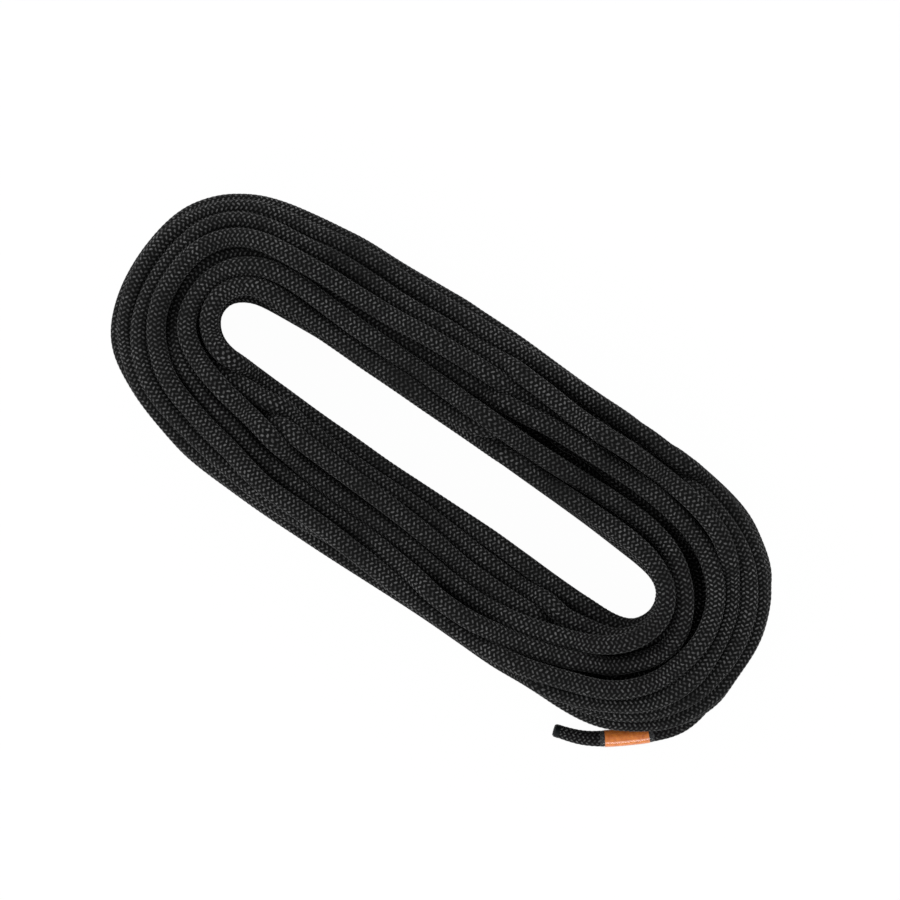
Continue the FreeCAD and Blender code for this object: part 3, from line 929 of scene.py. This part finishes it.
# %% The finished end's measures, in order back from the tip
TIP = 3.0 * MM
BARE_AHEAD = 20.5 * MM
OVERHANG = 2.5 * MM
LABEL = 22.0 * MM
BARE_BEHIND = 4.0 * MM
NARROWING = 10 * MM
NOT_AGAIN = 0.1 * MM
tip_start = whole - TIP
label_end = tip_start - BARE_AHEAD - OVERHANG
label_start = label_end - LABEL
finished_start = label_start - OVERHANG - BARE_BEHIND
# the rope's thickness, as a share of the full one, at places along it
NARROWER = [(finished_start - NARROWING, 1.0), (finished_start, 0.9), (label_start, 0.885),
            (label_end, 0.86), (tip_start, 0.70)]


def thickness(travel):
    """The rope's thickness along its length, as a share of the full one."""
    return np.interp(travel, *zip(*NARROWER))


def stretch(low, high):
    """The points of the rope's line between two lengths along it."""
    inside = travelled[(travelled > low + NOT_AGAIN) & (travelled < high - NOT_AGAIN)]
    travel = np.concatenate([[low], inside, [high]])
    points = np.column_stack([np.interp(travel, travelled, centre[:, k]) for k in range(3)])
    return points, travel


print("finished end %.1f mm, label from %.1f to %.1f mm before the tip" % tuple(
    (whole - travel) / MM for travel in (finished_start, label_start, label_end)))

# %% Make one length of the rope, with so many rings a metre
FINE_RINGS = 4 / CROWN_PITCH
COARSE_RINGS = 1 / (3.4 * MM)
COARSE_SIDES = 16


def rope_length(name, low, high, fine, nodes):
    """One length of the rope; a fine one has the crowns' relief."""
    points, travel = stretch(low, high)
    rings = int(round((high - low) * (FINE_RINGS if fine else COARSE_RINGS))) + 1
    sizes = {"Relief": CROWN_HEIGHT} if fine else {"Sides": COARSE_SIDES}
    piece = wrap(name, points, thickness(travel), sheath_finish, Rings=rings,
                 Radius=ROPE / 2 * MM - CROWN_HEIGHT, Start=float(low), **sizes)
    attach(piece, "root")
    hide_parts(*nodes)
    high - low


print("rings in a metre: %.0f fine, %.0f coarse" % (FINE_RINGS, COARSE_RINGS))

# %% The free end's melted tip
ROUNDED_FROM = 0.8
ROUNDED_OVER = 0.2


def nose(reach, taper, drop, power):
    """A melted end's thickness at shares of its length: a taper, then a rounded drop."""
    rounded = np.clip((reach - ROUNDED_FROM) / ROUNDED_OVER, 0, 1) ** power
    return 1 - taper * reach - drop * rounded


def melted_tip(name, points, thick, node, start=0.0):
    """A cut end, melted into a blunt, slightly lumpy nose."""
    piece = wrap(name, points, thick, melted_finish, Rings=26, Sides=32, Rows=5.0,
                 Pitch=3.1 * MM, Relief=0.12 * MM, Start=start)
    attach(piece, "root")
    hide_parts(node)
    return piece


points, travel = stretch(tip_start, whole)
reach = np.linspace(0, 1, len(travel))
free_tip = melted_tip("free_tip", points, thickness(tip_start) * nose(reach, 0.04, 0.2, 2),
                      "free_end_tip", float(tip_start))

# %% Core strands and the marker tape inside the finished end
STRANDS = 11
CORE_TWIST = 0.06
# rings of so many places at a radius in mm, drawn for a rope of this share of its full
# thickness; the outer ring's last place is the tape's
CORE_RINGS = [(3, 0.75), (9, 2.05)]
DRAWN_FOR = 0.88
UNDER_SHEATH = 0.02


def sideways(points):
    """The level and the upright direction square to the line at each point."""
    forward = np.gradient(points, axis=0)
    forward /= np.linalg.norm(forward, axis=1)[:, None]
    left = np.cross([0, 0, 1.0], forward)
    left /= np.linalg.norm(left, axis=1)[:, None]
    return left, np.cross(forward, left)


def core_line(points, travel, radius, angle, twist):
    """A line that winds round the rope's centre line, once in every twist of its length."""
    left, up = sideways(points)
    turn = angle + 2 * math.pi * (travel - travel[0]) / twist
    return points + radius * (np.cos(turn)[:, None] * left + np.sin(turn)[:, None] * up)


points, travel = stretch(finished_start, tip_start)
shrink = float(thickness(tip_start)) - UNDER_SHEATH
core_lines = [
    core_line(points, travel, radius * MM * shrink / DRAWN_FOR,
              2 * math.pi * k / places, CORE_TWIST)
    for places, radius in CORE_RINGS for k in range(places)]
tape_line = core_lines.pop()
core = wrap("core_strands", np.vstack(core_lines), np.ones(len(travel) * STRANDS), core_finish,
            STRANDS, Rings=70, Sides=8, Radius=0.5 * MM, Rows=2.0, Pitch=2.0 * MM,
            Relief=0.03 * MM)
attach(core, "root")
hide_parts(*["core_strand_%02d" % (k + 1) for k in range(STRANDS)])
tape = wrap("woven_in_tape", tape_line, np.ones(len(travel)), tape_finish,
            Rings=70, Sides=8, Radius=0.4 * MM)
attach(tape, "root")
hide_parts("marker_tape")

# %% Label and sleeve
OVER_ROPE = 0.045
SLEEVE_OVER_ROPE = 0.05
SLEEVE_OVER_LABEL = 0.06
SLEEVE_RISE = 2 * MM


def over_rope(travel):
    """The label's outer thickness, as a share of the rope's full one."""
    return thickness(travel) + OVER_ROPE


def over_label(travel):
    """The sleeve's: it hugs the rope at both its ends and rises over the label between them."""
    from_end = np.minimum(travel - label_start + OVERHANG, label_end + OVERHANG - travel)
    rise = SLEEVE_OVER_LABEL * np.clip(from_end / SLEEVE_RISE, 0, 1)
    return thickness(travel) + SLEEVE_OVER_ROPE + rise


def collar(name, low, high, thick, finish, node, rings):
    """A tube that hugs the rope's finished end; thick gives its thickness along the rope."""
    points, travel = stretch(low, high)
    piece = wrap(name, points, thick(travel), finish, Rings=rings, Start=float(low))
    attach(piece, "root")
    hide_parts(node)
    return piece


label = collar("orange_label", label_start, label_end, over_rope, label_finish,
               "end_label", 40)
sleeve = collar("clear_sleeve", label_start - OVERHANG, label_end + OVERHANG, over_label,
                sleeve_finish, "shrink_sleeve", 60)

# %% Every length of the sheath
RIM_SECOND = 0.80
FREE_PART = 0.4

rim_split = marks[-1] + RIM_SECOND
free_joint = travel_near((*FREE_ROUTE[0], ROPE / 2), whole - FREE_PART)
ends = marks[1:] + [rim_split, free_joint]
rope_length("rope_under", marks[0], marks[1], False, ["hank_inner_turns"])
for name, low, high in zip(TURN_NAMES + ["rim_second", "rim_lowest"], ends, ends[1:]):
    rope_length("rope_" + name, low, high, True, ["hank_turns"])
rope_length("rope_free_end", free_joint, tip_start, True, ["free_end_run", "end_sheath"])
print("lengths of rope:", len(ends) + 1)

# %% [markdown]
# ## The hidden end
#
# The rope's other end lies at the bottom of the pile and is melted shut in the same way.

# %% The hidden tip, its length in millimetres
HIDDEN_TIP = 7.0

heading = settled[0] - settled[2]
reach = np.linspace(0, 1, 12)
hidden_points = settled[0] + np.outer(reach * HIDDEN_TIP, heading / np.linalg.norm(heading))
melted_tip("hidden_tip", hidden_points * MM, 0.98 * nose(reach, 0.12, 0.5, 2.5), "hidden_end_tip")

# %% [markdown]
# ## Table and light
#
# A plain white table inside a ring of six soft lamps that stand low, so that the sides of the
# turns facing outwards catch the light and the grooves between them stay dark. The lamps at the
# left end are the stronger ones.

# %% Floor
HALF_TABLE = 3.0

floor_mesh = bpy.data.meshes.new("floor")
corners = [(x * HALF_TABLE, y * HALF_TABLE, 0) for x, y in [(-1, -1), (1, -1), (1, 1), (-1, 1)]]
floor_mesh.from_pydata(corners, [], [(0, 1, 2, 3)])
floor = bpy.data.objects.new("floor", floor_mesh)
bpy.context.collection.objects.link(floor)
floor_finish, shader, start = new_material("white table")
set_inputs(shader, Base_Color=grey(0.9), Roughness=0.9, Specular_IOR_Level=0.0)
# looked at straight, mirrored or through the sleeve it is plain white, and else it is matt
ray = start.node("ShaderNodeLightPath")
looked_at = ray.math("MAXIMUM", ray.other("Is Glossy Ray"))
looked_at = looked_at.math("MAXIMUM", ray.other("Is Transmission Ray"))
white = start.node("ShaderNodeEmission", values={"Color": grey(1.0), "Strength": 1.0})
matt = Field(start.tree, shader.outputs[0])
surface = start.node("ShaderNodeMixShader", values={0: looked_at * 0.98, 1: matt, 2: white})
output = start.tree.nodes["Material Output"]
start.tree.links.new(surface.socket, output.inputs["Surface"])
floor_mesh.materials.append(floor_finish)
floor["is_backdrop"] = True
print("table %.1f m wide" % (2 * HALF_TABLE))

# %% Lamps and surroundings, in metres, watts and degrees
LAMPS = 6
LAMP_RING = 1.3
LAMP_HEIGHT = 0.65
LAMP_SIZE = 0.7
LAMP_POWER = 8.6
LAMP_DROP = 2.9
FIRST_LAMP = 15
DARK_SIDE = 35


def lamp(name, location, size, power):
    """A soft square lamp that faces the middle of the table."""
    data = bpy.data.lights.new(name, "AREA")
    data.shape = "SQUARE"
    data.size = size
    data.energy = power
    thing = bpy.data.objects.new(name, data)
    bpy.context.collection.objects.link(thing)
    thing.location = location
    direction = -thing.location.normalized()
    thing.rotation_euler = direction.to_track_quat("-Z", "Y").to_euler()


for k in range(LAMPS):
    turn = math.radians(360 / LAMPS * k + FIRST_LAMP)
    power = LAMP_POWER - LAMP_DROP * math.cos(turn - math.radians(DARK_SIDE))
    lamp(f"soft_{k}", (LAMP_RING * math.cos(turn), LAMP_RING * math.sin(turn), LAMP_HEIGHT),
         LAMP_SIZE, power)
world = bpy.data.worlds.new("room")
world.use_nodes = True
set_inputs(world.node_tree.nodes["Background"], Color=(0.97, 0.98, 1.0, 1), Strength=0.4)
bpy.context.scene.world = world
bpy.context.scene.view_settings.view_transform = "Standard"
print("lamps", len(bpy.data.lights))

# %% Sizes and the end
low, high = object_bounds()
print("CAD box mm", in_mm(cad_low, cad_high))
print("visual box mm", in_mm(low, high))
